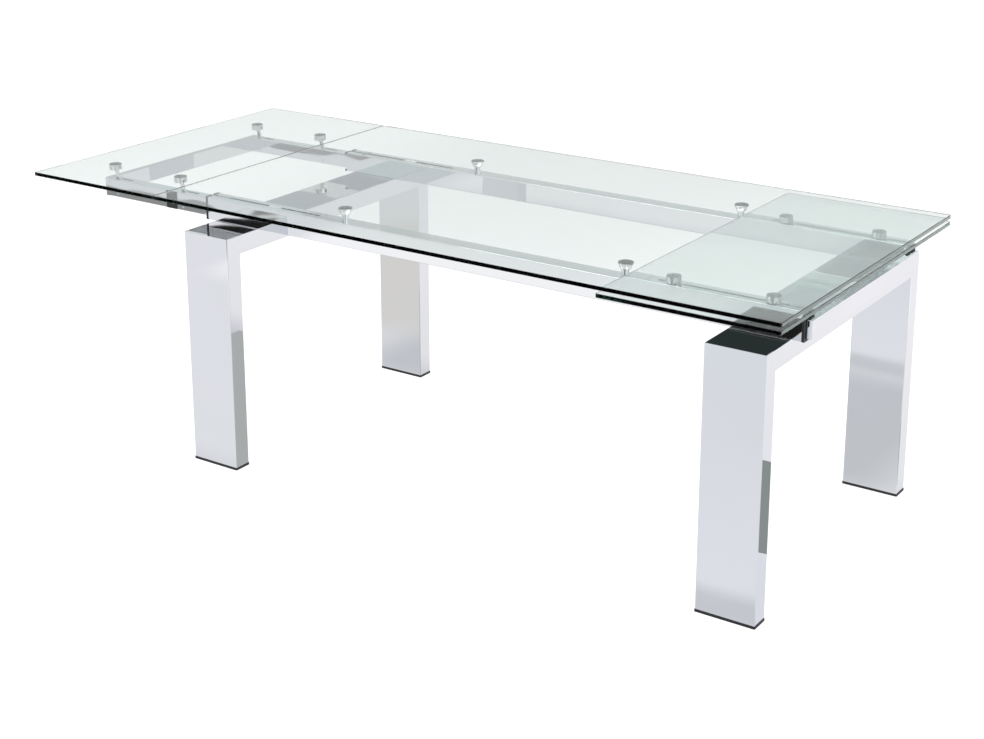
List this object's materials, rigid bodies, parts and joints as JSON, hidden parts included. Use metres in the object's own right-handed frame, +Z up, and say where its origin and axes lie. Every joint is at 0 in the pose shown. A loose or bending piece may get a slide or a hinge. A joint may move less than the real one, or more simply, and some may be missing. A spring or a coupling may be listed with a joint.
{
  "type": "extendable dining table",
  "caption": "Clear glass dining table on two chrome leg frames, with an extension leaf at each end that drops on swinging arms and slides under the main glass.",
  "frame": {"origin": "on the floor under the middle of the top's box, with the left leaf out and the right leaf in", "axes": "+X along the table from the raised left leaf to the stowed right leaf, +Y across it to the far side, +Z up"},
  "size_m": [2.251, 1, 0.75],
  "materials": {
    "glass": "clear tempered float glass, polished edges, faint green",
    "clear_adhesive": "clear cured bonding adhesive",
    "chrome": "mirror chrome plate on steel tube",
    "polished_fittings": "polished turned steel",
    "steel": "plain bright steel",
    "black_plastic": "satin moulded black plastic",
    "nylon": "natural nylon"
  },
  "bodies": {
    "frame": {"main_glass": "glass", "left_near_leg": "chrome", "left_far_leg": "chrome", "left_crossbar": "chrome", "right_near_leg": "chrome", "right_far_leg": "chrome", "right_crossbar": "chrome", "foot_pads": "black_plastic", "near_main_rail": "chrome", "far_main_rail": "chrome", "rail_end_collars": "black_plastic", "rail_end_bushes": "nylon", "rail_stops": "steel", "rail_screws": "steel", "main_standoff_posts": "polished_fittings", "main_standoff_caps": "polished_fittings", "main_bond_pads": "clear_adhesive"},
    "left_carriage": {"left_carriage_near_rail": "chrome", "left_carriage_far_rail": "chrome", "left_carriage_end_bar": "chrome", "left_glide_shoes": "nylon", "left_guide_pads": "black_plastic", "left_lower_pins": "steel"},
    "left_outer_arms": {"left_outer_arms": "polished_fittings"},
    "left_inner_arms": {"left_inner_arms": "polished_fittings"},
    "left_leaf": {"left_leaf_glass": "glass", "left_leaf_heads": "polished_fittings", "left_upper_pins": "steel", "left_leaf_bond_pads": "clear_adhesive"},
    "right_carriage": {"right_carriage_near_rail": "chrome", "right_carriage_far_rail": "chrome", "right_carriage_end_bar": "chrome", "right_glide_shoes": "nylon", "right_guide_pads": "black_plastic", "right_lower_pins": "steel"},
    "right_outer_arms": {"right_outer_arms": "polished_fittings"},
    "right_inner_arms": {"right_inner_arms": "polished_fittings"},
    "right_leaf": {"right_leaf_glass": "glass", "right_leaf_heads": "polished_fittings", "right_upper_pins": "steel", "right_leaf_bond_pads": "clear_adhesive"}
  },
  "joints": [
    {"name": "left_leaf_drop", "type": "hinge", "parent": "left_carriage", "child": "left_outer_arms", "pos_m": [-0.99427, 0, 0.66636], "axis": [0, 1, 0], "range_deg": [0, 64.4]},
    {"name": "left_carriage_slide", "type": "slide", "parent": "frame", "child": "left_carriage", "axis": [-1, 0, 0], "range_m": [0, 0.0774]},
    {"name": "left_inner_arm_swing", "type": "hinge", "parent": "left_carriage", "child": "left_inner_arms", "pos_m": [-0.74427, 0, 0.66636], "axis": [0, 1, 0], "range_deg": [-0.5, 64.9]},
    {"name": "left_leaf_level", "type": "hinge", "parent": "left_outer_arms", "child": "left_leaf", "pos_m": [-1.0155, 0, 0.7317], "axis": [0, 1, 0], "range_deg": [-64.9, 0.5]},
    {"name": "right_carriage_slide", "type": "slide", "parent": "frame", "child": "right_carriage", "axis": [1, 0, 0], "range_m": [0, 0.457]},
    {"name": "right_leaf_lift", "type": "hinge", "parent": "right_carriage", "child": "right_outer_arms", "pos_m": [1.06525, 0, 0.66636], "axis": [0, 1, 0], "range_deg": [0, 8]},
    {"name": "right_inner_arm_swing", "type": "hinge", "parent": "right_carriage", "child": "right_inner_arms", "pos_m": [0.81525, 0, 0.66636], "axis": [0, 1, 0], "range_deg": [-0.5, 8.5]},
    {"name": "right_leaf_level", "type": "hinge", "parent": "right_outer_arms", "child": "right_leaf", "pos_m": [1.0155, 0, 0.71374], "axis": [0, 1, 0], "range_deg": [-8.5, 0.5]}
  ],
  "couplings": [
    {"joint": "left_carriage_slide", "follows": "left_leaf_drop", "m_per_rad": 0.0687},
    {"joint": "left_inner_arm_swing", "follows": "left_leaf_drop", "ratio": 1},
    {"joint": "left_leaf_level", "follows": "left_leaf_drop", "ratio": -1},
    {"joint": "right_inner_arm_swing", "follows": "right_leaf_lift", "ratio": 1},
    {"joint": "right_leaf_level", "follows": "right_leaf_lift", "ratio": -1}
  ]
}
